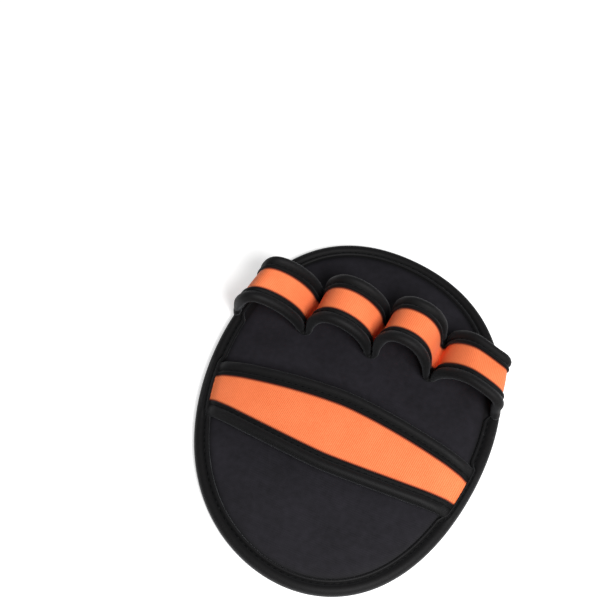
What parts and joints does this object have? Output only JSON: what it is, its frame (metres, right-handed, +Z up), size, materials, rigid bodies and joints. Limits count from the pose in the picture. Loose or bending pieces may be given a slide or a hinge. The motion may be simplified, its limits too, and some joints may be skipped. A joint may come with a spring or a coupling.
{
  "type": "weightlifting glove",
  "caption": "Open weightlifting glove: oval padded black palm with a bound edge, four orange and black finger loops and an orange and black hand strap.",
  "frame": {"origin": "centre of the palm's oval outline on its flat underside, the face that meets the surface it lies on", "axes": "+X along the row of finger loops, +Y towards the fingertips, +Z up out of the palm on the side of the loops and the strap"},
  "size_m": [0.114, 0.1464, 0.0285],
  "materials": {
    "neoprene_black": "smooth knit-faced neoprene, satin sheen",
    "edge_black": "soft black binding and folded edges, stitched",
    "elastic_orange": "fine woven elastic, satin"
  },
  "bodies": {
    "root": {"palm_pad": "neoprene_black", "edge_binding": "edge_black", "finger_band": "elastic_orange", "finger_band_wrist_edge": "edge_black", "finger_band_tip_edge": "edge_black", "hand_strap": "elastic_orange", "hand_strap_wrist_edge": "edge_black", "hand_strap_tip_edge": "edge_black"}
  },
  "joints": []
}
